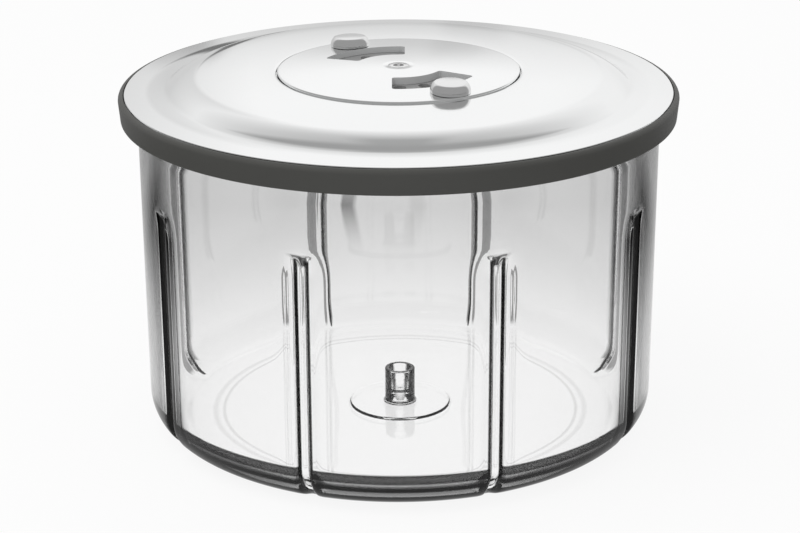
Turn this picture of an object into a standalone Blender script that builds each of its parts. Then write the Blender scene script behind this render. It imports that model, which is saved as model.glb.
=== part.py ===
"""Clear ribbed kitchen bowl with a lift-off lid and a turning vent dial. Sizes in mm, scene in metres."""

from math import asin, cos, degrees, radians, sin, sqrt

import bmesh
import bpy
from mathutils import Matrix

MM = 0.001

# Fits
SEAT = 0.3  # between two pieces that rest on or hold each other
SLIDE = 0.5  # round a piece that lifts off or turns

# Bowl
BOWL_R = 76.3  # outside, under the rim
BOWL_DRAFT = 0.7  # radius lost from rim to foot
BOWL_H = 97.9
WALL = 2.3
FLOOR_Z = 3.0
FOOT_W = 14.0  # flat ring that stands on the worktop, inside the rounded corner
FOOT_RISE = 0.8
CORNER = 11.3
BEAD = 2.0  # rim bead, proud of the wall
BEAD_H = 2.2

# Grip flutes pressed into the bowl's wall
FLUTE_TURNS = (21.0, 62.8, 109.5, 158.5)  # degrees from the front, on each side
FLUTE_TOP = BOWL_H - 22.9
FLUTE_SLANT = 4.0
FLUTE_DEPTH = 2.3
FLUTE_W = 6.7
FLUTE_FLOOR_W = 1.8
BULGE_DEPTH = 1.6  # the soft bulge that each flute makes inside the bowl
BULGE_W = 12.7
BULGE_FLOOR_W = 4.2

# Pivot boss on the bowl's floor
PAD_R = 14.35
PAD_H = 0.5
BOSS_R = 4.52
BOSS_H = 11.0
BOSS_MOUTH_R = 3.2
BOSS_BORE_R = 2.55
BOSS_BORE_DEPTH = 10.2

# Lid
SEAL_T = 1.4
LINER_T = 1.6
COVER_T = 0.6
FLANGE_Z = BOWL_H + SEAT + SEAL_T + SEAT + LINER_T + SEAT + COVER_T
BAND_LEDGE = 1.1  # inner shoulder that carries the liner
COVER_R = BOWL_R + BEAD + SLIDE + BAND_LEDGE
CREASE_R = COVER_R - 11.8
SHOULDER_R = CREASE_R - 9.6
SHOULDER_H = 4.1
FLANGE_FALL = 0.4  # the flange falls this much from the crease to its edge
CROWN = 0.45  # rise of the cover from the shoulder to the dial
BAND_WALL = 1.5
BAND_R = COVER_R + SEAT + BAND_WALL
BAND_ROUND = 1.2  # top outer edge, which rolls down from the level of the cover's flange
BAND_TAPER = 0.5
BAND_H = 7.45
PLUG_H = 6.2
PLUG_T = 1.6

# Vent
DIAL_R = 35.4
DIAL_T = 1.2
DIAL_STEP = 0.75
DIAL_CROWN = 0.95
RECESS_R = DIAL_R + SEAT
LEDGE_R = RECESS_R - 5.2
LINER_HOLE_R = LEDGE_R - 4.0
VENT_T = 1.2
SPIGOT_T = 2.0
WINDOW_FROM = -25.0
WINDOW_END_X = -2.0
HOLE_R = 1.9
HOLE_PITCH = 22.3
HOLE_MID = -66.7
HOLES = 3

# Knobs and rivet
KNOB_R = 5.8
KNOB_TOP_R = 4.6
KNOB_H = 2.5
KNOB_PEG_R = 2.2
KNOB_RING_R = DIAL_R - 5.7
KNOB_ANGLE = -60.6
WINDOW_OUT = KNOB_RING_R - KNOB_R - 0.1
WINDOW_IN = WINDOW_OUT - 10.9
HOLE_RING_R = WINDOW_OUT - 5.4
RIVET_HEAD_R = 3.0
RIVET_HEAD_T = 0.5
RIVET_R = 2.1
RIVET_EYE_R = 1.6
RIVET_EYE_DEPTH = 3.4
RIVET_TAIL_R = 3.3
WASHER_R = 5.4
WASHER_T = 0.6

STEPS = 56
DISC_STEPS = 44
SMALL_STEPS = 20


def material(name, colour, roughness, metallic=0.0, clear=0.0):
    made = bpy.data.materials.new(name)
    made.use_nodes = True
    shader = made.node_tree.nodes["Principled BSDF"]
    shader.inputs["Base Color"].default_value = (*colour, 1.0)
    shader.inputs["Roughness"].default_value = roughness
    shader.inputs["Metallic"].default_value = metallic
    shader.inputs["Transmission Weight"].default_value = clear
    return made


def finish(name, bm, surface, sharp=30.0):
    """The closed mesh as an object in metres, shaded smooth over its curves."""
    bmesh.ops.recalc_face_normals(bm, faces=bm.faces)
    bm.transform(Matrix.Scale(MM, 4))
    mesh = bpy.data.meshes.new(name)
    bm.to_mesh(mesh)
    bm.free()
    mesh.materials.append(surface)
    mesh.shade_smooth()
    mesh.set_sharp_from_angle(angle=radians(sharp))
    made = bpy.data.objects.new(name, mesh)
    bpy.context.scene.collection.objects.link(made)
    return made


def turned(name, profile, surface, steps=STEPS, sharp=30.0):
    """A solid turned about Z from a closed (radius, height) profile, open only on the axis."""
    bm = bmesh.new()
    rings = []
    for r, z in profile:
        if r < 1e-6:
            rings.append([bm.verts.new((0, 0, z))])
        else:
            turns = [radians(360 * i / steps) for i in range(steps)]
            rings.append([bm.verts.new((r * cos(a), r * sin(a), z)) for a in turns])
    on_axis = len(rings[0]) == 1
    pairs = list(zip(rings, rings[1:])) + ([] if on_axis else [(rings[-1], rings[0])])
    for low, high in pairs:
        for i in range(steps):
            j = (i + 1) % steps
            if len(low) == 1 and len(high) == 1:
                continue
            if len(low) == 1:
                bm.faces.new((low[0], high[j], high[i]))
            elif len(high) == 1:
                bm.faces.new((low[i], low[j], high[0]))
            else:
                bm.faces.new((low[i], low[j], high[j], high[i]))
    return finish(name, bm, surface, sharp)


def helper(made):
    made.hide_render = True
    made.display_type = "WIRE"
    return made


def boolean(made, other, operation):
    step = made.modifiers.new(other.name, "BOOLEAN")
    step.operation = operation
    step.solver = "EXACT"
    step.object = helper(other)


def prism(name, outline, low, high, surface):
    bm = bmesh.new()
    bottom = [bm.verts.new((x, y, low)) for x, y in outline]
    top = [bm.verts.new((x, y, high)) for x, y in outline]
    bm.faces.new(bottom[::-1])
    bm.faces.new(top)
    for i in range(len(outline)):
        j = (i + 1) % len(outline)
        bm.faces.new((bottom[i], bottom[j], top[j], top[i]))
    return finish(name, bm, surface)


def arc(centre_r, centre_z, radius, start, end, count):
    """Profile points on a round corner, from start to end degrees, 0 pointing outwards and 90 up."""
    found = []
    for i in range(count + 1):
        a = radians(start + (end - start) * i / count)
        found.append((centre_r + radius * cos(a), centre_z + radius * sin(a)))
    return found


def crowned(r, top, edge_r, rise):
    """Height at radius r on a dome that is top high on the axis and rise lower at edge_r."""
    return top - rise * (r / edge_r) ** 2


for old in list(bpy.data.objects):
    bpy.data.objects.remove(old, do_unlink=True)

clear = material("clear_plastic", (0.93, 0.95, 0.97), 0.05, clear=1.0)
steel = material("polished_steel", (0.80, 0.80, 0.79), 0.12, metallic=1.0)
dark = material("dark_plastic", (0.062, 0.062, 0.056), 0.55)
grey = material("grey_plastic", (0.30, 0.30, 0.30), 0.5)
silicone = material("seal_silicone", (0.55, 0.55, 0.55), 0.7)
satin = material("satin_steel", (0.62, 0.62, 0.62), 0.3, metallic=1.0)


# Bowl: one skin of stations up the outside, over the rim and down the inside, pushed in at the flutes
def wall_r(z):
    return BOWL_R - BOWL_DRAFT * (1 - z / BOWL_H)


def flute_fade(z):
    """1 below the flute's slanted top end, 0 above it."""
    return min(1.0, max(0.0, (FLUTE_TOP - z) / FLUTE_SLANT))


def bowl_stations():
    """(radius, height, outward r, outward z, push, inner) up the outside and down the inside."""
    corner_r = wall_r(CORNER) - CORNER
    foot_r = corner_r - FOOT_W
    found = [(foot_r - 1.0, FOOT_RISE, 0, -1, 0, False), (foot_r, 0, 0, -1, 0, False)]
    for i in range(6):
        a = radians(-90 + 90 * i / 5)
        push = min(1.0, max(0.0, i / 5 - 0.1) * 1.8)
        found.append((corner_r + CORNER * cos(a), CORNER + CORNER * sin(a), cos(a), sin(a), push, False))
    for z in (FLUTE_TOP - FLUTE_SLANT, FLUTE_TOP):
        found.append((wall_r(z), z, 1, 0, flute_fade(z), False))
    under = BOWL_H - BEAD_H
    bead_r = BOWL_R + BEAD
    found.append((wall_r(under), under, 1, 0, 0, False))
    for r, z in ((bead_r, under + 0.8), (bead_r, BOWL_H - 0.4), (bead_r - 0.4, BOWL_H)):
        found.append((r, z, 1, 0, 0, False))
    for r, z in ((BOWL_R - WALL + 0.4, BOWL_H), (BOWL_R - WALL, BOWL_H - 0.4)):
        found.append((r, z, 1, 0, 0, True))
    for z in (FLUTE_TOP + 0.5 * WALL, FLUTE_TOP - FLUTE_SLANT + 0.5 * WALL):
        found.append((wall_r(z) - WALL, z, 1, 0, flute_fade(z - 0.5 * WALL), True))
    inner = CORNER - WALL
    centre_z = FLOOR_Z + inner
    for i in range(6):
        a = radians(-90 * i / 5)
        push = min(1.0, max(0.0, 0.9 - i / 5) * 1.8)
        r = wall_r(centre_z) - WALL - inner + inner * cos(a)
        found.append((r, centre_z + inner * sin(a), cos(a), sin(a), push, True))
    return found


FLUTES = sorted(-90 + side * turn for side in (-1, 1) for turn in FLUTE_TURNS)


def flute_turns():
    """The angles, in degrees, at which the skin needs a point, closer together at the flutes."""
    near = [degrees(asin(0.5 * w / BOWL_R)) for w in (FLUTE_FLOOR_W, BULGE_FLOOR_W, FLUTE_W, BULGE_W)]
    found = []
    for here, after in zip(FLUTES, FLUTES[1:] + [FLUTES[0] + 360]):
        found += [here - a for a in reversed(near)] + [here + a for a in near]
        start, end = here + near[-1], after - near[-1]
        found += [start + (end - start) * k / 4 for k in (1, 2, 3)]
    return found


def flute_push(turn, inner):
    """How far in a flute presses the skin at this angle, as a groove outside and a wider bulge inside."""
    off = min(abs((turn - centre + 180) % 360 - 180) for centre in FLUTES)
    across = BOWL_R * sin(radians(min(off, 90)))
    floor_w, width, depth = FLUTE_FLOOR_W, FLUTE_W, FLUTE_DEPTH
    if inner:
        floor_w, width, depth = BULGE_FLOOR_W, BULGE_W, BULGE_DEPTH
    return depth * min(1.0, max(0.0, (width / 2 - across) / (width / 2 - floor_w / 2)))


bm = bmesh.new()
turns = flute_turns()
rings = []
for r, z, out_r, out_z, push, inner in bowl_stations():
    ring = []
    for turn in turns:
        depth = push * flute_push(turn, inner)
        a = radians(turn)
        rr = r - out_r * depth
        ring.append(bm.verts.new((rr * cos(a), rr * sin(a), z - out_z * depth)))
    rings.append(ring)
for low, high in zip(rings, rings[1:]):
    for i in range(len(turns)):
        j = (i + 1) % len(turns)
        bm.faces.new((low[i], low[j], high[j], high[i]))
bm.faces.new(rings[0][::-1])
bm.faces.new(rings[-1])
bowl = finish("bowl", bm, clear, sharp=35)

boss_top = FLOOR_Z + BOSS_H
pad_top = FLOOR_Z + PAD_H
boss = turned(
    "bowl_boss_union",
    [(0, FLOOR_Z - 1.2), (PAD_R, FLOOR_Z - 1.2), (PAD_R, pad_top - 0.2), (PAD_R - 0.2, pad_top)]
    + [(BOSS_R + 0.9, pad_top), (BOSS_R + 0.25, pad_top + 0.3), (BOSS_R, pad_top + 1.0)]
    + [(BOSS_R, boss_top - 0.3), (BOSS_R - 0.3, boss_top), (BOSS_MOUTH_R + 0.1, boss_top)]
    + [(BOSS_MOUTH_R, boss_top - 0.3), (BOSS_BORE_R, boss_top - 5.5)]
    + [(BOSS_BORE_R, boss_top - BOSS_BORE_DEPTH), (0, boss_top - BOSS_BORE_DEPTH)],
    clear,
    SMALL_STEPS,
)
boolean(bowl, boss, "UNION")


# Seal: a flat ring between the bowl's rim and the liner, round the plug skirt
band_in = BOWL_R + BEAD + SLIDE
plug_r = BOWL_R - WALL - SLIDE
seal_z = BOWL_H + SEAT
seal = turned(
    "seal_ring",
    [(plug_r + SEAT, seal_z + 0.3), (plug_r + SEAT + 0.3, seal_z), (band_in - SEAT - 0.3, seal_z)]
    + [(band_in - SEAT, seal_z + 0.3), (band_in - SEAT, seal_z + SEAL_T), (plug_r + SEAT, seal_z + SEAL_T)],
    silicone,
)

# Liner: the plate that faces the food, with its plug skirt inside the bowl's rim
liner_z = seal_z + SEAL_T + SEAT
liner_top = liner_z + LINER_T
liner_r = COVER_R
plug_low = liner_z - PLUG_H
liner = turned(
    "lid_liner",
    [(LINER_HOLE_R, liner_z), (plug_r - PLUG_T - 0.8, liner_z), (plug_r - PLUG_T, liner_z - 0.8)]
    + [(plug_r - PLUG_T + 0.2, plug_low + 0.3), (plug_r - PLUG_T + 0.5, plug_low), (plug_r - 0.5, plug_low)]
    + [(plug_r, plug_low + 0.6), (plug_r, liner_z), (liner_r, liner_z), (liner_r, liner_top)]
    + [(LINER_HOLE_R, liner_top)],
    grey,
)

# Band: the dark ring that carries the liner on its inner shoulder and guards the cover's edge
band_low = FLANGE_Z - BAND_H
shoulder_z = liner_z - SEAT
cover_gap_r = COVER_R + SEAT
band = turned(
    "rim_band",
    [(band_in, shoulder_z), (band_in, band_low + 0.4), (band_in + 0.4, band_low)]
    + [(BAND_R - BAND_TAPER - 0.5, band_low), (BAND_R - BAND_TAPER, band_low + 0.5)]
    + arc(BAND_R - BAND_ROUND, FLANGE_Z - BAND_ROUND, BAND_ROUND, 0, 90, 4)
    + [(cover_gap_r, FLANGE_Z), (cover_gap_r, shoulder_z)],
    dark,
)


# Cover: pressed steel sheet with a raised crown and a recess for the dial
def sheet(top, thickness):
    """A closed profile of even thickness under the open profile top, which runs inwards."""
    under = []
    for i, (r, z) in enumerate(top):
        r0, z0 = top[max(i - 1, 0)]
        r1, z1 = top[min(i + 1, len(top) - 1)]
        run = sqrt((r1 - r0) ** 2 + (z1 - z0) ** 2)
        under.append((r - (z1 - z0) / run * thickness, z - (r0 - r1) / run * thickness))
    return top + under[::-1]


crown_z = FLANGE_Z + SHOULDER_H + CROWN
dial_edge_z = crown_z + DIAL_STEP
dial_mid_z = dial_edge_z + DIAL_CROWN
vent_drop = DIAL_T + SEAT
ledge_z = dial_edge_z - vent_drop - VENT_T - SEAT
shoulder = []
for i in range(5):
    lean = radians(44 - 42 * i / 4)
    shoulder.append((sin(lean), cos(lean)))
reach = [(shoulder[0][0] - s, c - shoulder[0][1]) for s, c in shoulder]
scale_r = (CREASE_R - SHOULDER_R) / reach[-1][0]
scale_z = (SHOULDER_H - FLANGE_FALL) / reach[-1][1]
shoulder = [(CREASE_R - s * scale_r, FLANGE_Z + FLANGE_FALL + c * scale_z) for s, c in reach]
top = [(COVER_R, FLANGE_Z)] + shoulder + [(0.5 * (SHOULDER_R + RECESS_R), crown_z - 0.3 * CROWN)]
top += [(RECESS_R + 0.8, crown_z), (RECESS_R + 0.2, crown_z - 0.2)]
top += [(RECESS_R, crown_z - 0.8), (RECESS_R, ledge_z), (LEDGE_R, ledge_z)]
cover = turned("lid_cover", sheet(top, COVER_T), steel, sharp=28)

# Vent plate: grey disc on the cover's ledge, with a spigot down to the liner
plate_r = RECESS_R - SEAT
spigot_r = LEDGE_R - SEAT
plate_edge_z = dial_edge_z - vent_drop
plate_mid_z = dial_mid_z - vent_drop


def plate_z(r):
    return crowned(r, plate_mid_z, DIAL_R, DIAL_CROWN)


spigot_low = liner_top + SEAT
plate = turned(
    "vent_plate",
    [(RIVET_R + SEAT, plate_z(0) - VENT_T)]
    + [(r, plate_z(r) - VENT_T) for r in (0.33 * DIAL_R, 0.6 * DIAL_R)]
    + [(spigot_r - SPIGOT_T, plate_z(spigot_r) - VENT_T), (spigot_r - SPIGOT_T, spigot_low)]
    + [(spigot_r, spigot_low), (spigot_r, ledge_z + SEAT), (plate_r, ledge_z + SEAT)]
    + [(plate_r, plate_z(plate_r))]
    + [(r, plate_z(r)) for r in (0.8 * DIAL_R, 0.6 * DIAL_R, 0.33 * DIAL_R)]
    + [(RIVET_R + SEAT, plate_z(0))],
    grey,
    DISC_STEPS,
)
for side in range(2):
    for k in range(HOLES):
        a = radians(HOLE_MID + HOLE_PITCH * (k - (HOLES - 1) / 2) + 180 * side)
        x, y = HOLE_RING_R * cos(a), HOLE_RING_R * sin(a)
        turns = [radians(360 * n / 12) for n in range(12)]
        rim = [(x + HOLE_R * cos(t), y + HOLE_R * sin(t)) for t in turns]
        cutter = prism(f"vent_hole_cut_{side}_{k}", rim, plate_edge_z - 4, plate_mid_z + 1, grey)
        boolean(plate, cutter, "DIFFERENCE")


# Dial: domed disc that turns over the vent plate, with two windows and two knobs
def dial_z(r):
    return crowned(r, dial_mid_z, DIAL_R, DIAL_CROWN)


eye_r = RIVET_HEAD_R + SEAT
dial = turned(
    "vent_dial",
    [(RIVET_R + SEAT, dial_z(0) - DIAL_T)]
    + [(r, dial_z(r) - DIAL_T) for r in (0.33 * DIAL_R, 0.66 * DIAL_R)]
    + [(DIAL_R - 0.2, dial_z(DIAL_R) - DIAL_T), (DIAL_R, dial_z(DIAL_R) - DIAL_T + 0.2)]
    + [(DIAL_R, dial_z(DIAL_R) - 0.4), (DIAL_R - 0.12, dial_z(DIAL_R) - 0.1)]
    + [(DIAL_R - 0.5, dial_z(DIAL_R - 0.5))]
    + [(r, dial_z(r)) for r in (0.82 * DIAL_R, 0.6 * DIAL_R, 0.33 * DIAL_R, eye_r)]
    + [(eye_r, dial_z(0) - RIVET_HEAD_T - SEAT), (RIVET_R + SEAT, dial_z(0) - RIVET_HEAD_T - SEAT)],
    steel,
    DISC_STEPS,
    sharp=20,
)


def window_outline():
    """The window's plan: two arcs, a radial end and an end along Y, with its four corners cut."""
    end_out = -90 - degrees(asin(-WINDOW_END_X / WINDOW_OUT))
    end_in = -90 - degrees(asin(-WINDOW_END_X / WINDOW_IN))
    cut_out, cut_in, count = 3.0, 4.5, 8
    found = []
    for i in range(count + 1):
        a = radians(WINDOW_FROM - cut_out + (end_out + 2 * cut_out - WINDOW_FROM) * i / count)
        found.append((WINDOW_OUT * cos(a), WINDOW_OUT * sin(a)))
    found.append((WINDOW_END_X, found[-1][1] + 1.2))
    found.append((WINDOW_END_X, WINDOW_IN * sin(radians(end_in)) - 0.9))
    for i in range(count + 1):
        a = radians(end_in + cut_in + (WINDOW_FROM - end_in - 2 * cut_in) * i / count)
        found.append((WINDOW_IN * cos(a), WINDOW_IN * sin(a)))
    a = radians(WINDOW_FROM)
    for r in (WINDOW_IN + 0.9, WINDOW_OUT - 1.2):
        found.append((r * cos(a), r * sin(a)))
    return found


for side in range(2):
    turn = radians(180 * side)
    outline = [(x * cos(turn) - y * sin(turn), x * sin(turn) + y * cos(turn)) for x, y in window_outline()]
    cutter = prism(f"window_cut_{side}", outline[::-1], dial_edge_z - 4, dial_mid_z + 1, steel)
    boolean(dial, cutter, "DIFFERENCE")
knob_slope = 2 * DIAL_CROWN * KNOB_RING_R / DIAL_R**2
knobs = []
for side, name in enumerate(("knob_front", "knob_rear")):
    a = radians(KNOB_ANGLE + 180 * side)
    seat_z = dial_z(KNOB_RING_R)
    place = Matrix.Translation((KNOB_RING_R * cos(a) * MM, KNOB_RING_R * sin(a) * MM, seat_z * MM))
    place = place @ Matrix.Rotation(a, 4, "Z") @ Matrix.Rotation(knob_slope, 4, "Y")
    peg = turned(
        f"{name}_hole_cut",
        [(0, -3), (KNOB_PEG_R + SEAT, -3), (KNOB_PEG_R + SEAT, 1), (0, 1)],
        steel,
        16,
    )
    peg.matrix_world = place
    boolean(dial, peg, "DIFFERENCE")
    knob = turned(
        name,
        [(0, 0.15 - DIAL_T), (KNOB_PEG_R, 0.15 - DIAL_T), (KNOB_PEG_R, SEAT), (KNOB_R - 0.1, SEAT)]
        + [(KNOB_R, SEAT + 0.1), (KNOB_R - 0.05, SEAT + 0.3 * KNOB_H)]
        + [(KNOB_R - 0.4, SEAT + 0.64 * KNOB_H), (KNOB_R - 0.8, SEAT + 0.88 * KNOB_H)]
        + [(KNOB_TOP_R, SEAT + KNOB_H), (0, SEAT + KNOB_H)],
        satin,
        20,
        sharp=32,
    )
    knob.matrix_world = place
    knobs.append(knob)

# Rivet, with a spring washer and a plain washer under the vent plate
mid = dial_z(0)
under = plate_z(0) - VENT_T - SEAT
tail_z = under - 2 * (WASHER_T + SEAT)
rivet = turned(
    "pivot_rivet",
    [(0, tail_z - 0.7), (RIVET_TAIL_R - 0.5, tail_z - 0.7), (RIVET_TAIL_R, tail_z - 0.3)]
    + [(RIVET_TAIL_R, tail_z), (RIVET_R, tail_z), (RIVET_R, mid - RIVET_HEAD_T)]
    + [(RIVET_HEAD_R, mid - RIVET_HEAD_T), (RIVET_HEAD_R, mid - 0.1), (RIVET_HEAD_R - 0.15, mid)]
    + [(RIVET_EYE_R + 0.2, mid), (RIVET_EYE_R, mid - 0.2)]
    + [(RIVET_EYE_R, mid - RIVET_EYE_DEPTH), (0, mid - RIVET_EYE_DEPTH)],
    satin,
    SMALL_STEPS,
)
spring = turned(
    "spring_washer",
    [(RIVET_R + SEAT, under - WASHER_T), (WASHER_R, under - 0.8 * WASHER_T)]
    + [(WASHER_R, under - 0.2 * WASHER_T), (RIVET_R + SEAT, under)],
    satin,
    SMALL_STEPS,
)
low = under - WASHER_T - SEAT
washer = turned(
    "retaining_washer",
    [(RIVET_R + SEAT, low - WASHER_T), (WASHER_R - 0.6, low - WASHER_T), (WASHER_R - 0.6, low)]
    + [(RIVET_R + SEAT, low)],
    satin,
    SMALL_STEPS,
)


def joint_empty(name, members, parent=None):
    made = bpy.data.objects.new(name, None)
    made.empty_display_size = 0.02
    bpy.context.scene.collection.objects.link(made)
    made.parent = parent
    for member in members:
        member.parent = made
    return made


lift = joint_empty("lid_lift_axis", [cover, band, liner, seal, plate, rivet, spring, washer])
joint_empty("dial_turn_axis", [dial, *knobs], lift)
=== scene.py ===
from math import asin, cos, degrees, pi, radians, sin

import bmesh
import bpy
import numpy as np
from mathutils import Matrix, Vector


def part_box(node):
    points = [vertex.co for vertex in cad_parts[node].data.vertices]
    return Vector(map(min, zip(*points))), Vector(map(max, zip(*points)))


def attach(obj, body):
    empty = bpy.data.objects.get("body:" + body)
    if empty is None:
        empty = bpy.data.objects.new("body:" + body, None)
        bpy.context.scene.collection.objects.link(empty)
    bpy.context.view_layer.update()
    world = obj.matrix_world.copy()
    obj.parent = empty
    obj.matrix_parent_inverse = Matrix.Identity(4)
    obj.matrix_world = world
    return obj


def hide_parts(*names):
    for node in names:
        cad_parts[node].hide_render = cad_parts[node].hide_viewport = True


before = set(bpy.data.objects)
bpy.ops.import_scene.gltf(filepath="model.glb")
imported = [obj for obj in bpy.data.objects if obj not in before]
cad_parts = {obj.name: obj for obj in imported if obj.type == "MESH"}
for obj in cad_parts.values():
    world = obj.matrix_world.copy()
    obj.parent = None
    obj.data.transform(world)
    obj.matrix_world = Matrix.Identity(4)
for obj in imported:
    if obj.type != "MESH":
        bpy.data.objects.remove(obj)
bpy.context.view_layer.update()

MM = 0.001

# Sizes of the bowl, in mm, as in the CAD
BOWL_R, BOWL_DRAFT, BOWL_H, WALL = 76.3, 0.7, 97.9, 2.3
FLOOR_Z, FOOT_R, FOOT_RISE, CORNER = 3.0, 50.3, 0.8, 11.3
RIM_LOW, RIM_ROUND = 95.4, 0.6
PAD_R, PAD_H = 15.3, 0.5
BOSS_R, BOSS_H, BORE_R, MOUTH_R = 4.52, 11.0, 2.55, 3.5

# Flutes: degrees from the front on each side, the groove outside, and the soft bulge inside
FLUTE_TURNS = (21.0, 62.8, 109.5, 158.5)
FLUTE_TOP, FLUTE_SLANT, FLUTE_DEPTH = 75.0, 4.0, 2.3
FLUTE_ACROSS, FLUTE_SHARE = (0.9, 2.25, 2.9, 4.0), (1.0, 0.15, 0.05, 0.0)
FLUTE_NEAR, SHARE_NEAR = 4.0, 0.5
BULGE_DEPTH, BULGE_REACH, BULGE_TOP, BULGE_SLANT = 1.5, 2.6, 76.5, 9.0

# Sizes of the lid
FLANGE_Z, FLANGE_FALL, COVER_R, CREASE_R, SHOULDER_R = 102.4, 0.4, 79.9, 68.1, 58.5
CROWN_Z, CROWN_RISE, SHEET = 106.95, 0.45, 0.55
RECESS_R, RECESS_Z = 35.7, 104.7
BAND_R, BAND_LOW, BAND_IN, BAND_ROUND, BAND_TOP = 81.7, 94.95, 78.8, 1.4, 102.15
SLOT_TURNS, SLOT_NEAR, SLOT_FAR, SLOT_R = (-88.5, -61.5, -34.5, 91.5, 118.5, 145.5), 15.4, 20.0, 1.8

# Sizes of the dial
DIAL_R, DIAL_LOW, DIAL_EDGE_Z, DIAL_MID_Z, DIAL_BEND = 35.4, 106.22, 107.5, 108.65, 1.5
WINDOW_OUT, WINDOW_IN, WINDOW_END_X, WINDOW_FROM = 23.8, 12.9, -1.9, -25.0
KNOB_RING, KNOB_TURN, PEG_R = 29.7, -60.6, 2.2
PIVOT_R, PIVOT_GAP = 2.1, 0.3

# Painted shade in clear plastic: bands round the bottom's corner as (height in mm, what the bottom's corner
# lets through), and rings under the floor
CORNER_CENTRE, CORNER_SKIN, CORNER_SPAN = 64.4, 10.1, 15.0
PAINTED_CORNER_BANDS = ((4.5, 0.004), (4.9, 0.45), (6.1, 0.4), (6.6, 0.01), (7.7, 0.018), (8.4, 0.17),
                (8.95, 0.37), (9.45, 0.055), (10.9, 0.1), (11.9, 0.055), (12.3, 1.0))
PAINTED_FLOOR_RINGS = ((0.0537, 0.0007, 0.8), (0.0563, 0.0011, 0.86))


# Modelling by hand
def start(add, **settings):
    """Adds a primitive with nothing else selected and goes into edit mode with it."""
    if bpy.context.mode != "OBJECT":
        bpy.ops.object.mode_set(mode="OBJECT")
    bpy.ops.object.select_all(action="DESELECT")
    add(**settings)
    piece = bpy.context.object
    bpy.ops.object.mode_set(mode="EDIT")
    return piece


def settle(piece, name, smooth=30):
    """Back to object mode: the place goes into the mesh, and curves are shaded smooth."""
    if bpy.context.mode != "OBJECT":
        bpy.ops.object.mode_set(mode="OBJECT")
    bpy.ops.object.select_all(action="DESELECT")
    piece.select_set(True)
    bpy.context.view_layer.objects.active = piece
    bpy.ops.object.transform_apply(location=True, rotation=True, scale=True)
    bpy.ops.object.shade_smooth_by_angle(angle=radians(smooth))
    piece.name = name
    piece.data.name = name
    return piece


def apply_modifier(piece, kind, **settings):
    bpy.ops.object.select_all(action="DESELECT")
    piece.select_set(True)
    bpy.context.view_layer.objects.active = piece
    step = piece.modifiers.new(kind.lower(), kind)
    for key, value in settings.items():
        setattr(step, key, value)
    bpy.ops.object.modifier_apply(modifier=step.name)


def spun(name, profile, closed=True, steps=256, smooth=30):
    """Draws a profile of (radius, height) points in mm by extruding one vertex, and spins it about Z."""
    piece = start(bpy.ops.mesh.primitive_plane_add, size=0.001)
    mesh = bmesh.from_edit_mesh(piece.data)
    for spare in list(mesh.verts)[1:]:
        mesh.verts.remove(spare)
    mesh.verts.ensure_lookup_table()
    first = mesh.verts[0]
    first.co = (profile[0][0] * MM, 0, profile[0][1] * MM)
    first.select = True
    bmesh.update_edit_mesh(piece.data)
    for (r0, z0), (r1, z1) in zip(profile, profile[1:]):
        step = ((r1 - r0) * MM, 0, (z1 - z0) * MM)
        bpy.ops.mesh.extrude_region_move(TRANSFORM_OT_translate={"value": step})
    if closed:
        mesh = bmesh.from_edit_mesh(piece.data)
        mesh.verts.ensure_lookup_table()
        mesh.verts[0].select = True
        mesh.verts[len(mesh.verts) - 1].select = True
        bmesh.update_edit_mesh(piece.data)
        bpy.ops.mesh.edge_face_add()
    bpy.ops.mesh.select_all(action="SELECT")
    bpy.ops.mesh.spin(steps=steps, angle=2 * pi, center=(0, 0, 0), axis=(0, 0, 1))
    bpy.ops.mesh.select_all(action="SELECT")
    bpy.ops.mesh.remove_doubles(threshold=1e-6)
    bpy.ops.mesh.normals_make_consistent(inside=False)
    return settle(piece, name, smooth)


def corner(centre_r, centre_z, radius, first, last, count):
    """Profile points round a corner, 0 degrees outwards and 90 up."""
    turns = [radians(first + (last - first) * i / count) for i in range(count + 1)]
    return [(centre_r + radius * cos(a), centre_z + radius * sin(a)) for a in turns]


def between(low, high, count):
    return [low + (high - low) * i / count for i in range(count + 1)]


def soft_step(x):
    x = np.clip(x, 0, 1)
    return x * x * (3 - 2 * x)


def rounded(x, places, levels, edge):
    """The level at x on straight runs between the places, each corner rounded over twice the edge."""
    shifts = np.linspace(-edge, edge, 7)
    return sum(np.interp(x + shift, places, levels) for shift in shifts) / len(shifts)


# Materials
def shader_group(name, inputs, outputs):
    group = bpy.data.node_groups.new(name, "ShaderNodeTree")
    for label, kind, value in inputs:
        socket = group.interface.new_socket(label, in_out="INPUT", socket_type=kind)
        if value is not None:
            socket.default_value = value
    for label, kind in outputs:
        group.interface.new_socket(label, in_out="OUTPUT", socket_type=kind)
    return group, group.nodes.new("NodeGroupInput"), group.nodes.new("NodeGroupOutput")


def node(tree, kind, settings=None, **values):
    made = tree.nodes.new(kind)
    for key, value in (settings or {}).items():
        setattr(made, key, value)
    for key, value in values.items():
        made.inputs[key.replace("_", " ")].default_value = value
    return made


def remap(tree, value, from_low, from_high, to_low, to_high):
    made = node(tree, "ShaderNodeMapRange")
    sockets = ("From Min", "From Max", "To Min", "To Max")
    for key, number in zip(sockets, (from_low, from_high, to_low, to_high)):
        made.inputs[key].default_value = number
    tree.links.new(value, made.inputs["Value"])
    return made.outputs["Result"]


def math_node(tree, operation, first, second=None):
    made = node(tree, "ShaderNodeMath", {"operation": operation})
    for socket, value in zip(made.inputs, (first, second)):
        if value is None:
            continue
        if isinstance(value, (int, float)):
            socket.default_value = value
        else:
            tree.links.new(value, socket)
    return made.outputs[0]


def mixed(tree, factor, first, second):
    made = node(tree, "ShaderNodeMix", {"data_type": "FLOAT"})
    for key, value in (("Factor", factor), ("A", first), ("B", second)):
        if isinstance(value, (int, float)):
            made.inputs[key].default_value = value
        else:
            tree.links.new(value, made.inputs[key])
    return made.outputs["Result"]


def product(tree, first, *others):
    for other in others:
        first = math_node(tree, "MULTIPLY", first, other)
    return first


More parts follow.
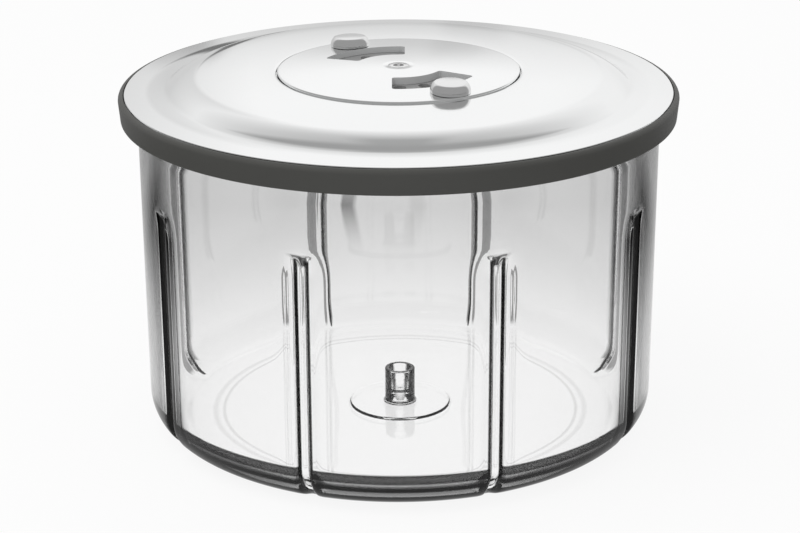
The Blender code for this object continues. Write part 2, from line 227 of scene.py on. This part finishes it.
def grey_ramp(tree, share, stops):
    """A grey level that follows (place, level) stops along a share from 0 to 1."""
    made = tree.nodes.new("ShaderNodeValToRGB")
    ramp_stops = made.color_ramp.elements
    while len(ramp_stops) < len(stops):
        ramp_stops.new(0.5)
    for stop, (place, level) in zip(ramp_stops, stops):
        stop.position = place
        stop.color = (level, level, level, 1)
    tree.links.new(share, made.inputs["Fac"])
    return made.outputs["Color"]


def length_of(tree, **parts):
    """The length of a vector, from the links of its parts X, Y and Z."""
    joined = node(tree, "ShaderNodeCombineXYZ")
    for key, value in parts.items():
        tree.links.new(value, joined.inputs[key])
    length = node(tree, "ShaderNodeVectorMath", {"operation": "LENGTH"})
    tree.links.new(joined.outputs[0], length.inputs[0])
    return length.outputs["Value"]


def handling_group():
    """Fine hairline scratches and faint smears: a mask for roughness and a height for bump."""
    group, given, out = shader_group(
        "handling_marks",
        [("Vector", "NodeSocketVector", None), ("Hairlines", "NodeSocketFloat", 900.0),
         ("Smears", "NodeSocketFloat", 30.0)],
        [("Mask", "NodeSocketFloat"), ("Height", "NodeSocketFloat")],
    )
    long_way = node(group, "ShaderNodeMapping")
    long_way.inputs["Scale"].default_value = (1, 0.08, 1)
    long_way.inputs["Rotation"].default_value = (0, 0, 0.6)
    group.links.new(given.outputs["Vector"], long_way.inputs["Vector"])
    fine = node(group, "ShaderNodeTexNoise", Detail=3.0, Roughness=0.6)
    group.links.new(long_way.outputs[0], fine.inputs["Vector"])
    group.links.new(given.outputs["Hairlines"], fine.inputs["Scale"])
    broad = node(group, "ShaderNodeTexNoise", Detail=3.0, Roughness=0.5)
    group.links.new(given.outputs["Vector"], broad.inputs["Vector"])
    group.links.new(given.outputs["Smears"], broad.inputs["Scale"])
    lines = remap(group, fine.outputs[0], 0.55, 0.75, 0, 1)
    smears = remap(group, broad.outputs[0], 0.45, 0.7, 0, 1)
    total = math_node(group, "ADD", product(group, lines, 0.4), product(group, smears, 0.6))
    group.links.new(total, out.inputs["Mask"])
    group.links.new(lines, out.inputs["Height"])
    return group


HANDLING = handling_group()


def surface(name, colour, roughness, metallic=0.0, **constant):
    made = bpy.data.materials.new(name)
    made.use_nodes = True
    tree = made.node_tree
    shader = tree.nodes["Principled BSDF"]
    shader.inputs["Base Color"].default_value = (*colour, 1)
    shader.inputs["Roughness"].default_value = roughness
    shader.inputs["Metallic"].default_value = metallic
    for key, value in constant.items():
        shader.inputs[key.replace("_", " ")].default_value = value
    return made, tree, shader, node(tree, "ShaderNodeTexCoord").outputs["Object"]


def worn(name, colour, rough_low, rough_high, bump, metallic=0.0, hairlines=900.0, smears=30.0, **constant):
    """A finish with hairlines and smears of its own in roughness and bump."""
    made, tree, shader, place = surface(name, colour, rough_low, metallic, **constant)
    marks = tree.nodes.new("ShaderNodeGroup")
    marks.node_tree = HANDLING
    marks.inputs["Hairlines"].default_value = hairlines
    marks.inputs["Smears"].default_value = smears
    tree.links.new(place, marks.inputs["Vector"])
    rough = remap(tree, marks.outputs["Mask"], 0, 1, rough_low, rough_high)
    tree.links.new(rough, shader.inputs["Roughness"])
    dent = node(tree, "ShaderNodeBump", Strength=bump, Distance=0.00002)
    tree.links.new(marks.outputs["Height"], dent.inputs["Height"])
    tree.links.new(dent.outputs["Normal"], shader.inputs["Normal"])
    return made


def painted_groove_shade(tree, outside):
    """How much of the base colour the painted shade on the grooves' walls keeps, by the attribute that the
    flutes leave: little from outside.
    """
    walls = node(tree, "ShaderNodeAttribute", {"attribute_name": "painted_groove_walls"}).outputs["Fac"]
    near = remap(tree, walls, 0.5, 1.0, 0.0, 0.97)
    far = remap(tree, walls, 0.0, 0.5, 0.0, 0.65)
    return math_node(tree, "SUBTRACT", 1.0, mixed(tree, outside, far, near))


def painted_corner_bands(tree, r, z, outside):
    """Painted light and dark bands round the bottom's corner, on the skin, seen from outside."""
    from_centre = length_of(tree, X=math_node(tree, "SUBTRACT", r, CORNER_CENTRE * MM),
                            Z=math_node(tree, "SUBTRACT", z, CORNER * MM))
    skin = product(tree, math_node(tree, "GREATER_THAN", from_centre, CORNER_SKIN * MM),
                   math_node(tree, "GREATER_THAN", r, (CORNER_CENTRE - 0.4) * MM), outside)
    stops = [(height / CORNER_SPAN, level) for height, level in PAINTED_CORNER_BANDS]
    bands = grey_ramp(tree, math_node(tree, "DIVIDE", z, CORNER_SPAN * MM), stops)
    return mixed(tree, skin, 1.0, bands)


def painted_turning_shade(tree, r, z, outside):
    """Painted shade on the boss and the wall where their surface turns away."""
    facing = node(tree, "ShaderNodeLayerWeight", Blend=0.5).outputs["Facing"]
    on_boss = product(tree, math_node(tree, "LESS_THAN", r, 0.0062),
                      math_node(tree, "GREATER_THAN", z, 0.0042))
    on_wall = product(tree, math_node(tree, "GREATER_THAN", r, 0.07), outside)
    boss = mixed(tree, on_boss, 1.0, remap(tree, facing, 0.14, 0.26, 1.0, 0.07))
    return product(tree, boss, mixed(tree, on_wall, 1.0, remap(tree, facing, 0.52, 0.78, 1.0, 0.3)))


def painted_floor_ring(tree, r, z, place, half, level):
    """A faint painted shade ring under the floor."""
    off = math_node(tree, "ABSOLUTE", math_node(tree, "SUBTRACT", r, place))
    ring = remap(tree, off, 0.3 * half, half, level, 1.0)
    return mixed(tree, math_node(tree, "LESS_THAN", z, 0.001), 1.0, ring)


def painted_edge_shade(made):
    """Paints shade into the base colour where thick clear plastic turns dark as it bends light most, such as
    groove walls and round corners.
    """
    tree = made.node_tree
    outside = math_node(tree, "SUBTRACT", 1.0, node(tree, "ShaderNodeNewGeometry").outputs["Backfacing"])
    spot = node(tree, "ShaderNodeSeparateXYZ")
    tree.links.new(node(tree, "ShaderNodeTexCoord").outputs["Object"], spot.inputs[0])
    r, z = length_of(tree, X=spot.outputs["X"], Y=spot.outputs["Y"]), spot.outputs["Z"]
    rings = [painted_floor_ring(tree, r, z, *ring) for ring in PAINTED_FLOOR_RINGS]
    keep = product(tree, painted_groove_shade(tree, outside), painted_corner_bands(tree, r, z, outside),
                   painted_turning_shade(tree, r, z, outside), *rings)
    shader = tree.nodes["Principled BSDF"]
    # Painted shade: what is kept goes into the base colour
    tree.links.new(math_node(tree, "POWER", keep, 2.0), shader.inputs["Base Color"])
    return made


# Clear plastic with painted shade in its base colour
CLEAR = painted_edge_shade(worn("clear_plastic", (1, 1, 1), 0.0, 0.03, 0.02, Transmission_Weight=1.0, IOR=1.5))
STEEL = worn("polished_steel", (0.90, 0.905, 0.905), 0.06, 0.12, 0.05, metallic=1.0)
DIAL_STEEL = worn("dial_steel", (0.92, 0.925, 0.925), 0.08, 0.14, 0.05, metallic=1.0)
KNOB_METAL = worn("knob_metal", (0.8, 0.8, 0.8), 0.12, 0.18, 0.05, metallic=1.0)
CUT_STEEL = worn("cut_steel", (0.56, 0.565, 0.565), 0.7, 0.8, 0.05)
DARK = worn("dark_band", (0.064, 0.064, 0.059), 0.5, 0.6, 0.1, hairlines=1500.0)
GREY = worn("grey_plastic", (0.27, 0.27, 0.27), 0.45, 0.6, 0.1)
SILICONE = worn("seal_silicone", (0.6, 0.6, 0.6), 0.5, 0.65, 0.1)


def dress(piece, body, material, slot, *nodes):
    piece.data.materials.clear()
    piece.data.materials.append(material)
    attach(piece, body)
    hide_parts(*nodes)
    return piece


# Bowl
def wall_r(z):
    return BOWL_R - BOWL_DRAFT * (1 - z / BOWL_H)


def outside_profile():
    """From the middle of the foot's shallow cone, round the corner and up the wall to the rim."""
    ends = [FLUTE_TOP + 0.6 - (FLUTE_SLANT + 1.2) * i / 13 for i in range(14)]
    points = [(0, FOOT_RISE), (4, FOOT_RISE)]
    points += [(r, FOOT_RISE * (FOOT_R + 1 - r) / (FOOT_R - 3)) for r in between(8, FOOT_R - 2, 6)]
    points += [(FOOT_R, 0.01), (FOOT_R + 2, 0), (60, 0)]
    points += corner(wall_r(CORNER) - CORNER, CORNER, CORNER, -90, 0, 20)
    points += [(wall_r(z), z) for z in between(16, ends[-1] - 3, 4)]
    points += [(wall_r(z), z) for z in reversed(ends)]
    points += [(wall_r(z), z) for z in (80, 90, RIM_LOW)]
    return points


def rim_profile():
    points = [(BOWL_R + 0.5, RIM_LOW + 0.3), (BOWL_R + 1.7, RIM_LOW + 0.8)]
    points += corner(BOWL_R + 1.4, BOWL_H - RIM_ROUND, RIM_ROUND, 0, 90, 4)
    points += corner(BOWL_R - WALL + RIM_ROUND, BOWL_H - RIM_ROUND, RIM_ROUND, 90, 180, 4)
    return points


def inside_profile():
    """Down the inner wall, with more points where the bulges begin, and round the floor's corner."""
    inner = CORNER - WALL
    inner_z = FLOOR_Z + inner
    swell = between(BULGE_TOP, BULGE_TOP - BULGE_SLANT, 8)
    points = [(wall_r(z) - WALL, z) for z in [90, 80] + swell + between(swell[-1] - 6, 17, 4)]
    points += corner(wall_r(inner_z) - WALL - inner, inner_z, inner, 0, -90, 16)
    return points + [(58, FLOOR_Z), (40, FLOOR_Z)]


def boss_profile():
    """The pad's edge, the boss with its rounded foot and mouth, and its stepped bore."""
    top, pad = FLOOR_Z + BOSS_H, FLOOR_Z + PAD_H
    points = [(PAD_R + 0.7, FLOOR_Z), (PAD_R, FLOOR_Z), (PAD_R - 0.12, FLOOR_Z + 0.1)]
    points += [(PAD_R - 0.25, pad - 0.08), (PAD_R - 0.4, pad), (PAD_R - 1.1, pad), (6.2, pad)]
    points += corner(BOSS_R + 0.9, pad + 0.9, 0.9, -90, -180, 5)
    points += [(BOSS_R, top - 2)] + corner(BOSS_R - 0.35, top - 0.35, 0.35, 0, 90, 4)
    points += corner(MOUTH_R, top - 0.3, 0.3, 90, 180, 3) + [(BORE_R + 0.15, top - 5.3), (BORE_R, top - 5.7)]
    return points + [(BORE_R, top - 10.0), (BORE_R - 0.2, top - 10.2), (0, top - 10.2)]


def crowded(turn, centres):
    """Gives the skin near the flutes its share of the columns, which start evenly round the circle."""
    sides = np.sort(np.concatenate([centres - FLUTE_NEAR, centres + FLUTE_NEAR]))
    edges = np.concatenate([[0], sides, [360]])
    near = 2 * FLUTE_NEAR * len(centres)
    is_near = np.arange(len(edges) - 1) % 2
    rates = np.where(is_near, SHARE_NEAR * 360 / near, (1 - SHARE_NEAR) * 360 / (360 - near))
    return np.interp(turn, np.concatenate([[0], np.cumsum(np.diff(edges) * rates)]), edges)


def painted_wall_shade(across, z, inner_side):
    """Painted shade on a groove's skin: 1 where it is dark from outside, and 0.5 where it is dark only from
    within.
    """
    broad = soft_step((across - 0.85) / 0.25) * soft_step((3.3 - across) / 0.3)
    tight = broad * np.where(inner_side, 1, soft_step((2.0 - across) / 0.25))
    end = soft_step((FLUTE_TOP - z) / 0.4) * soft_step((z - FLUTE_TOP + 3.8) / 0.4)
    end = end * (across < 2.6) * inner_side
    below = soft_step((FLUTE_TOP - 0.3 - z) / 1.5)
    return np.maximum(below * (0.5 * broad + 0.5 * tight), 0.9 * end) * soft_step((z - 1) / 3)


def press_flutes(piece):
    """Presses the flutes in, as a groove outside and a soft bulge inside, and marks where shade is painted
    on the grooves' walls.
    """
    count = len(piece.data.vertices)
    co = np.empty(count * 3)
    piece.data.vertices.foreach_get("co", co)
    co = co.reshape(-1, 3) / MM
    r, z = np.hypot(co[:, 0], co[:, 1]), co[:, 2]
    centres = np.array(sorted((-90 + side * t) % 360 for side in (-1, 1) for t in FLUTE_TURNS))
    turn = crowded(np.degrees(np.arctan2(co[:, 1], co[:, 0])) % 360, centres)
    off = np.abs((turn[:, None] - centres[None, :] + 180) % 360 - 180)
    across = BOWL_R * np.sin(np.radians(off.min(1)))
    nearest = centres[off.argmin(1)]

    corner_r = wall_r(CORNER) - CORNER
    down, out = CORNER + 0.35 - z, r - corner_r
    low = (z < CORNER) & (r > corner_r)
    lean = np.where(low, np.arctan2(np.maximum(down, 0), np.maximum(out, 1e-6)), 0)
    outer = np.where(low, np.hypot(down, out) > CORNER - WALL / 2, r > wall_r(z) - WALL / 2)
    beside = (r < corner_r) | (z > 90)

    side = rounded(across, FLUTE_ACROSS, FLUTE_SHARE, 0.2)
    end = rounded(FLUTE_TOP - z, (0, FLUTE_SLANT), (0, 1), 0.35)
    groove = np.minimum(side, end) * FLUTE_DEPTH
    swell = soft_step((BULGE_TOP - z) / BULGE_SLANT) * BULGE_DEPTH
    bulge = np.exp(-0.5 * (across / BULGE_REACH) ** 2) * swell
    depth = np.where(outer, groove, bulge) * soft_step(1.9 - np.degrees(lean) / 45)
    depth[beside] = 0

    # Where shade is painted on the grooves' walls, kept as an attribute for the clear plastic
    towards_middle = (nearest - 270) * (turn - nearest) < 0
    shade = painted_wall_shade(across, z, towards_middle) * outer
    shade[beside] = 0
    layer = piece.data.attributes.new("painted_groove_walls", "FLOAT", "POINT")
    layer.data.foreach_set("value", shade.astype(np.float32))

    r = r - depth * np.cos(lean)
    z = z + depth * np.sin(lean)
    a = np.radians(turn)
    pressed = np.stack([r * np.cos(a), r * np.sin(a), z], 1) * MM
    piece.data.vertices.foreach_set("co", pressed.ravel())
    piece.data.update()


bowl_profile = outside_profile() + rim_profile() + inside_profile() + boss_profile()
bowl = spun("clear_bowl", bowl_profile, closed=False, steps=672, smooth=50)
press_flutes(bowl)
dress(bowl, "bowl", CLEAR, "clear_plastic", "bowl")

# Lid underneath
seal = spun("soft_seal", [(73.8, 98.2), (78.5, 98.2), (78.5, 99.6), (73.8, 99.6)])
apply_modifier(seal, "BEVEL", width=0.0003, segments=2, limit_method="ANGLE")
dress(seal, "lid", SILICONE, "seal_silicone", "seal_ring")
liner = spun("liner_plate", [(26.5, 99.9), (71.1, 99.9), (71.9, 99.1), (72.1, 93.7), (73.5, 93.7),
                             (73.5, 99.9), (COVER_R, 99.9), (COVER_R, 101.5), (26.5, 101.5)])
apply_modifier(liner, "BEVEL", width=0.00025, segments=2, limit_method="ANGLE")
dress(liner, "lid", GREY, "liner_plastic", "lid_liner")
band = spun("grip_band", [(80.2, 99.6), (BAND_IN, 99.6)]
            + [(BAND_IN, BAND_LOW + 0.4), (BAND_IN + 0.4, BAND_LOW)]
            + corner(BAND_R - 1.0, BAND_LOW + 0.5, 0.5, -90, 0, 4)
            + corner(BAND_R - BAND_ROUND, BAND_TOP - BAND_ROUND, BAND_ROUND, 0, 90, 8)
            + [(80.25, BAND_TOP), (80.2, BAND_TOP - 0.1)], steps=320)
dress(band, "lid", DARK, "dark_plastic", "rim_band")


# Steel cover
def cover_profile():
    """The flange, the rounded shoulder, the crowned top and the dial's recess, all one sheet."""
    lean = [radians(44 - 42 * i / 16) for i in range(17)]
    reach = [(sin(lean[0]) - sin(a), cos(a) - cos(lean[0])) for a in lean]
    crease_z = FLANGE_Z + FLANGE_FALL
    scale_r = (CREASE_R - SHOULDER_R) / reach[-1][0]
    scale_z = (CROWN_Z - CROWN_RISE - crease_z) / reach[-1][1]
    points = [(COVER_R, FLANGE_Z - 0.15), (COVER_R - 0.15, FLANGE_Z), (74, FLANGE_Z + 0.2)]
    points += [(CREASE_R + 0.4, crease_z - 0.01)]
    points += [(CREASE_R - x * scale_r, crease_z + y * scale_z) for x, y in reach][1:]
    for r in between(54, 38, 6):
        points.append((r, CROWN_Z - CROWN_RISE * ((r - 36) / (SHOULDER_R - 36)) ** 1.5))
    points += [(36.6, CROWN_Z), (36.0, CROWN_Z - 0.01), (35.83, CROWN_Z - 0.07), (35.73, CROWN_Z - 0.2)]
    points += [(RECESS_R, CROWN_Z - 0.6), (RECESS_R, RECESS_Z), (RECESS_R - 5.2, RECESS_Z)]
    under = []
    for i, (r, z) in enumerate(points):
        (r0, z0), (r1, z1) = points[max(i - 1, 0)], points[min(i + 1, len(points) - 1)]
        along = Vector((r1 - r0, z1 - z0)).normalized()
        under.append((r - SHEET * along.y, z - SHEET * abs(along.x)))
    return points + under[::-1]


cover = spun("steel_cover", cover_profile(), steps=360, smooth=40)
dress(cover, "lid", STEEL, "polished_steel", "lid_cover")


# Vent plate
def cut(piece, cutter):
    apply_modifier(piece, "BOOLEAN", operation="DIFFERENCE", solver="EXACT", object=cutter)
    bpy.data.objects.remove(cutter, do_unlink=True)


def plan_cutter(plan, low, high, rounding):
    """A prism over a plan, with its upright corners rounded."""
    piece = start(bpy.ops.mesh.primitive_circle_add, vertices=len(plan), radius=0.01, fill_type="NGON")
    mesh = bmesh.from_edit_mesh(piece.data)
    mesh.verts.ensure_lookup_table()
    for vert, (x, y) in zip(mesh.verts, plan):
        vert.co = (x * MM, y * MM, low * MM)
    bmesh.update_edit_mesh(piece.data)
    bpy.ops.mesh.select_all(action="SELECT")
    bpy.ops.mesh.extrude_region_move(TRANSFORM_OT_translate={"value": (0, 0, (high - low) * MM)})
    bpy.ops.mesh.select_all(action="SELECT")
    bpy.ops.mesh.normals_make_consistent(inside=False)
    settle(piece, "cutter")
    if rounding:
        mesh = bmesh.new()
        mesh.from_mesh(piece.data)
        upright = [e for e in mesh.edges if abs(e.verts[0].co.z - e.verts[1].co.z) > 1e-6
                   and e.calc_face_angle(0) > radians(40)]
        bmesh.ops.bevel(mesh, geom=upright, offset=rounding * MM, segments=5, profile=0.5, affect="EDGES")
        mesh.to_mesh(piece.data)
        mesh.free()
    return piece


def slot_plan(turn, near, far, radius):
    """A hole drawn out along a spoke, from near to far, which makes a round hole where they are equal."""
    found = [(r + radius * cos(radians(t)), radius * sin(radians(t)))
             for r, first in ((far, -90), (near, 90)) for t in between(first, first + 168, 14)]
    a = radians(turn)
    return [(x * cos(a) - y * sin(a), x * sin(a) + y * cos(a)) for x, y in found]


plate = spun("vent_disc", [(2.4, 105.7), (6.4, 105.7), (7.0, 105.0), (28.2, 105.0), (28.2, 101.8)]
             + [(30.2, 101.8), (30.2, 105.0), (DIAL_R, 105.0), (DIAL_R, 106.15), (2.4, 106.15)], steps=192)
apply_modifier(plate, "BEVEL", width=0.00015, segments=2, limit_method="ANGLE", angle_limit=radians(50))
for turn in SLOT_TURNS:
    cut(plate, plan_cutter(slot_plan(turn, SLOT_NEAR, SLOT_FAR, SLOT_R), 104, 110, 0))
settle(plate, "vent_disc", 30)
dress(plate, "lid", GREY, "vent_plastic", "vent_plate")


# Dial
def dome(r):
    return DIAL_MID_Z - (DIAL_MID_Z - DIAL_EDGE_Z) * (r / DIAL_R) ** DIAL_BEND


def turned_half(plan, side):
    t = pi * side
    return [(x * cos(t) - y * sin(t), x * sin(t) + y * cos(t)) for x, y in plan]


def window_plan():
    """The window's outline in mm: two arcs, a radial end and an end along Y."""
    found = []
    for r, count in ((WINDOW_OUT, 22), (WINDOW_IN, 16)):
        end = -90 - degrees(asin(-WINDOW_END_X / r))
        turns = between(WINDOW_FROM, end, count) if r == WINDOW_OUT else between(end, WINDOW_FROM, count)
        found += [(r * cos(radians(t)), r * sin(radians(t))) for t in turns]
    return found


def knob_profile():
    """The peg, the seat on the dial, the rounded side that leans in, and the flat top."""
    side = [(5.7, 0.06), (5.78, 0.12), (5.8, 0.3), (5.8, 0.75), (5.74, 1.1), (5.62, 1.5)]
    top = [(5.46, 1.85), (5.26, 2.2), (5.02, 2.5), (4.84, 2.68), (4.64, 2.77), (4.45, 2.8), (0, 2.8)]
    return [(0, -1.0), (PEG_R, -1.0), (PEG_R, 0.06)] + side + top


hole_r = PIVOT_R + PIVOT_GAP
dial = spun("window_dial", [(hole_r, DIAL_LOW), (34.0, DIAL_LOW), (34.6, 106.4), (DIAL_R, 106.5)]
            + [(DIAL_R, DIAL_EDGE_Z - 0.25)] + corner(DIAL_R - 0.15, DIAL_EDGE_Z - 0.15, 0.15, 15, 80, 4)
            + [(r, dome(r)) for r in (34.9, 34.4, 32, 28, 24, 20, 16, 12, 8, 5, 3.1)]
            + [(3.02, DIAL_MID_Z - 0.06), (3.02, DIAL_MID_Z - 0.7), (hole_r, DIAL_MID_Z - 0.8)], steps=288)
for side in range(2):
    peg_hole = slot_plan(KNOB_TURN + 180 * side, KNOB_RING, KNOB_RING, PEG_R + 0.2)
    cut(dial, plan_cutter(turned_half(window_plan(), side), 104, 111, 1.0))
    cut(dial, plan_cutter(peg_hole, 104, 111, 0))
settle(dial, "window_dial", 25)
dress(dial, "dial", DIAL_STEEL, "dial_steel", "vent_dial")

# The windows' cut walls are dull
dial.data.materials.append(CUT_STEEL)
for face in dial.data.polygons:
    if abs(face.normal.z) < 0.5 and face.center.xy.length < 0.025:
        face.material_index = 1

# Knobs, square to the dome where they stand
knob_lean = DIAL_BEND * (DIAL_MID_Z - DIAL_EDGE_Z) / DIAL_R * (KNOB_RING / DIAL_R) ** (DIAL_BEND - 1)
for side, name in enumerate(("front", "rear")):
    knob = spun(f"{name}_knob", knob_profile(), closed=False, steps=96, smooth=40)
    a = radians(KNOB_TURN + 180 * side)
    foot = (KNOB_RING * cos(a) * MM, KNOB_RING * sin(a) * MM, dome(KNOB_RING) * MM)
    turns = Matrix.Rotation(a, 4, "Z") @ Matrix.Rotation(knob_lean, 4, "Y")
    knob.data.transform(Matrix.Translation(foot) @ turns)
    dress(knob, "dial", KNOB_METAL, "knob_metal", f"knob_{name}")

# Rivet and washers
rivet = spun("dial_rivet", [(0, 102.3), (2.8, 102.3), (3.3, 102.7), (3.3, 103.0), (PIVOT_R, 103.0)]
             + [(PIVOT_R, 108.15), (2.97, 108.15), (2.97, 108.6), (2.9, 108.64), (1.62, 108.65)]
             + [(1.55, 108.6), (1.45, 107.95), (1.3, 107.85), (0, 107.8)], closed=False, steps=64)
dress(rivet, "lid", KNOB_METAL, "rivet_metal", "pivot_rivet")
for cad, name in (("spring_washer", "wave_ring"), ("retaining_washer", "flat_ring")):
    low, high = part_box(cad)
    (out, under), top = (high.x / MM, low.z / MM), high.z / MM
    piece = spun(name, [(hole_r, under), (out, under), (out, top), (hole_r, top)], steps=64)
    apply_modifier(piece, "BEVEL", width=0.0001, segments=2, limit_method="ANGLE")
    dress(piece, "lid", KNOB_METAL, "rivet_metal", cad)

# Studio: dark stripes between the white boards behind, by how far a point lies to the right for its depth
def stripes_group():
    sockets = [("Right", "NodeSocketFloat", 0.0), ("Depth", "NodeSocketFloat", 1.0)]
    group, given, out = shader_group("board_gaps", sockets, [("Keep", "NodeSocketFloat")])
    slant = math_node(group, "DIVIDE", given.outputs["Right"], given.outputs["Depth"])
    keep = 1.0
    for centre, half, dark in ((-0.108, 0.022, 0.28), (0.037, 0.02, 0.86)):
        off = math_node(group, "ABSOLUTE", math_node(group, "ADD", slant, -centre))
        keep = math_node(group, "MULTIPLY", remap(group, off, 0.5 * half, half, dark, 1.0), keep)
    keep = mixed(group, remap(group, given.outputs["Depth"], 0.1, 0.2, 0, 1), 1.0, keep)
    group.links.new(keep, out.inputs["Keep"])
    return group


STRIPES = stripes_group()


def stripes(tree, right, depth):
    made = tree.nodes.new("ShaderNodeGroup")
    made.node_tree = STRIPES
    tree.links.new(right, made.inputs["Right"])
    tree.links.new(depth, made.inputs["Depth"])
    return made.outputs["Keep"]


def steps(tree, value, *stops):
    """A grey level that follows (degrees, level) stops, for an angle in radians."""
    quarter = math_node(tree, "DIVIDE", value, pi / 2)
    return grey_ramp(tree, quarter, [(turn / 90, level) for turn, level in stops])


# Floor: glows white for clear plastic and metal, with painted dark sides, painted shadow in front of the
# bowl, painted shade further back and painted board stripes; seen straight on it is white and keeps a faint
# shadow
floor = start(bpy.ops.mesh.primitive_plane_add, size=6, location=(0, 0, -0.0004))
floor = settle(floor, "floor")
made, tree, shader, place = surface("pale_floor", (0.85, 0.85, 0.85), 0.9)
floor.data.materials.append(made)
spot = node(tree, "ShaderNodeSeparateXYZ")
tree.links.new(place, spot.inputs[0])
# Painted dark sides: the glow fades to dark beyond a narrow strip
sides = remap(tree, math_node(tree, "ABSOLUTE", spot.outputs["X"]), 0.12, 0.22, 1.0, 0.06)
reach = node(tree, "ShaderNodeVectorMath", {"operation": "LENGTH"})
tree.links.new(place, reach.inputs[0])
# Painted shadow: in front, the floor's glow drops from under the bowl's bottom corner outwards
painted_rim_shadow = remap(tree, reach.outputs["Value"], 0.066, 0.07, 1.0, 0.4)
ahead = mixed(tree, remap(tree, spot.outputs["Y"], -0.02, 0.01, 0, 1), painted_rim_shadow, 1.0)
# Painted shade: the glow dims further back
behind = remap(tree, spot.outputs["Y"], 0.04, 0.14, 1.0, 0.74)
painted_table_glow = product(tree, sides, ahead, behind)
# Painted reflection: dark board stripes further back, seen by metal only
far = product(tree, stripes(tree, spot.outputs["X"], spot.outputs["Y"]), 0.62)
mirrored = mixed(tree, remap(tree, spot.outputs["Y"], 0.14, 0.2, 0, 1), painted_table_glow, far)
path = node(tree, "ShaderNodeLightPath")
glow = node(tree, "ShaderNodeEmission")
tree.links.new(mixed(tree, path.outputs["Is Glossy Ray"], painted_table_glow, mirrored), glow.inputs["Strength"])
plain = node(tree, "ShaderNodeEmission", Strength=1.0)
both = tree.nodes.new("ShaderNodeMixShader")
both.inputs["Fac"].default_value = 0.1
tree.links.new(plain.outputs[0], both.inputs[1])
tree.links.new(shader.outputs[0], both.inputs[2])
clear_ways = tree.nodes.new("ShaderNodeMixShader")
shown = math_node(tree, "MAXIMUM", path.outputs["Is Glossy Ray"], path.outputs["Is Transmission Ray"])
tree.links.new(shown, clear_ways.inputs["Fac"])
tree.links.new(shader.outputs[0], clear_ways.inputs[1])
tree.links.new(glow.outputs[0], clear_ways.inputs[2])
finish = tree.nodes.new("ShaderNodeMixShader")
tree.links.new(path.outputs["Is Camera Ray"], finish.inputs["Fac"])
tree.links.new(clear_ways.outputs[0], finish.inputs[1])
tree.links.new(both.outputs[0], finish.inputs[2])
tree.links.new(finish.outputs[0], tree.nodes["Material Output"].inputs["Surface"])

# World: white boards behind, dimmer to the left, grey overhead and in front, dark at the sides
world = bpy.data.worlds.new("studio")
bpy.context.scene.world = world
world.use_nodes = True
tree = world.node_tree
tree.nodes.clear()
ways = node(tree, "ShaderNodeTexCoord").outputs["Generated"]
split = node(tree, "ShaderNodeSeparateXYZ")
tree.links.new(ways, split.inputs[0])
across, away = split.outputs["X"], split.outputs["Y"]
height = math_node(tree, "ARCSINE", split.outputs["Z"])
middle = steps(tree, height, (5, 0.64), (9.5, 0.62), (12.5, 0.84), (16, 1.0), (29, 1.0), (46, 0.75),
               (64, 0.42), (90, 0.385))
left = steps(tree, height, (8, 0.66), (16, 0.73), (22, 0.79), (31, 0.9), (44, 0.74), (52, 0.64),
             (68, 0.52), (90, 0.4))
right = steps(tree, height, (8, 0.88), (17, 0.94), (26, 0.95), (37, 0.86), (46, 0.73), (54, 0.64),
              (68, 0.52), (90, 0.4))
boards = mixed(tree, remap(tree, across, -0.15, -0.07, 1, 0), middle, left)
boards = mixed(tree, remap(tree, across, 0.07, 0.15, 0, 1), boards, right)
low_only = remap(tree, height, radians(10), radians(14), 0, 1)
boards = product(tree, boards, mixed(tree, low_only, stripes(tree, across, away), 1.0))
sideways = math_node(tree, "ABSOLUTE", across)
edge = math_node(tree, "ADD", away, product(tree, sideways, -0.45))
metal_way = mixed(tree, remap(tree, edge, 0.05, 0.22, 1, 0), boards, 0.37)
flags = remap(tree, sideways, 0.35, 0.6, 0.78, 0.04)
path = node(tree, "ShaderNodeLightPath")
lit = mixed(tree, path.outputs["Is Glossy Ray"], 0.75, metal_way)
lit = mixed(tree, path.outputs["Is Transmission Ray"], lit, flags)
lit = mixed(tree, path.outputs["Is Camera Ray"], lit, 1.0)
sky = node(tree, "ShaderNodeBackground")
sky.inputs["Color"].default_value = (1, 1, 1, 1)
tree.links.new(lit, sky.inputs["Strength"])
tree.links.new(sky.outputs[0], node(tree, "ShaderNodeOutputWorld").inputs["Surface"])

key = bpy.data.lights.new("key", "AREA")
key.shape, key.size, key.energy = "DISK", 0.9, 5
lamp = bpy.data.objects.new("key", key)
bpy.context.scene.collection.objects.link(lamp)
lamp.location = (-0.5, -0.3, 1.1)
lamp.rotation_euler = (Vector((0, 0, 0.05)) - lamp.location).to_track_quat("-Z", "Y").to_euler()
lamp.visible_glossy = False

# Camera
camera = bpy.data.objects.new("camera", bpy.data.cameras.new("camera"))
bpy.context.scene.collection.objects.link(camera)
camera.data.lens, camera.data.sensor_width = 108, 36
camera.location = (0.00017, -0.6779, 0.2909)
tilt, roll = Matrix.Rotation(radians(70.15), 4, "X"), Matrix.Rotation(radians(-0.26), 4, "Z")
camera.rotation_euler = (tilt @ roll).to_euler()
bpy.context.scene.camera = camera
bpy.context.scene.view_settings.view_transform = "Standard"
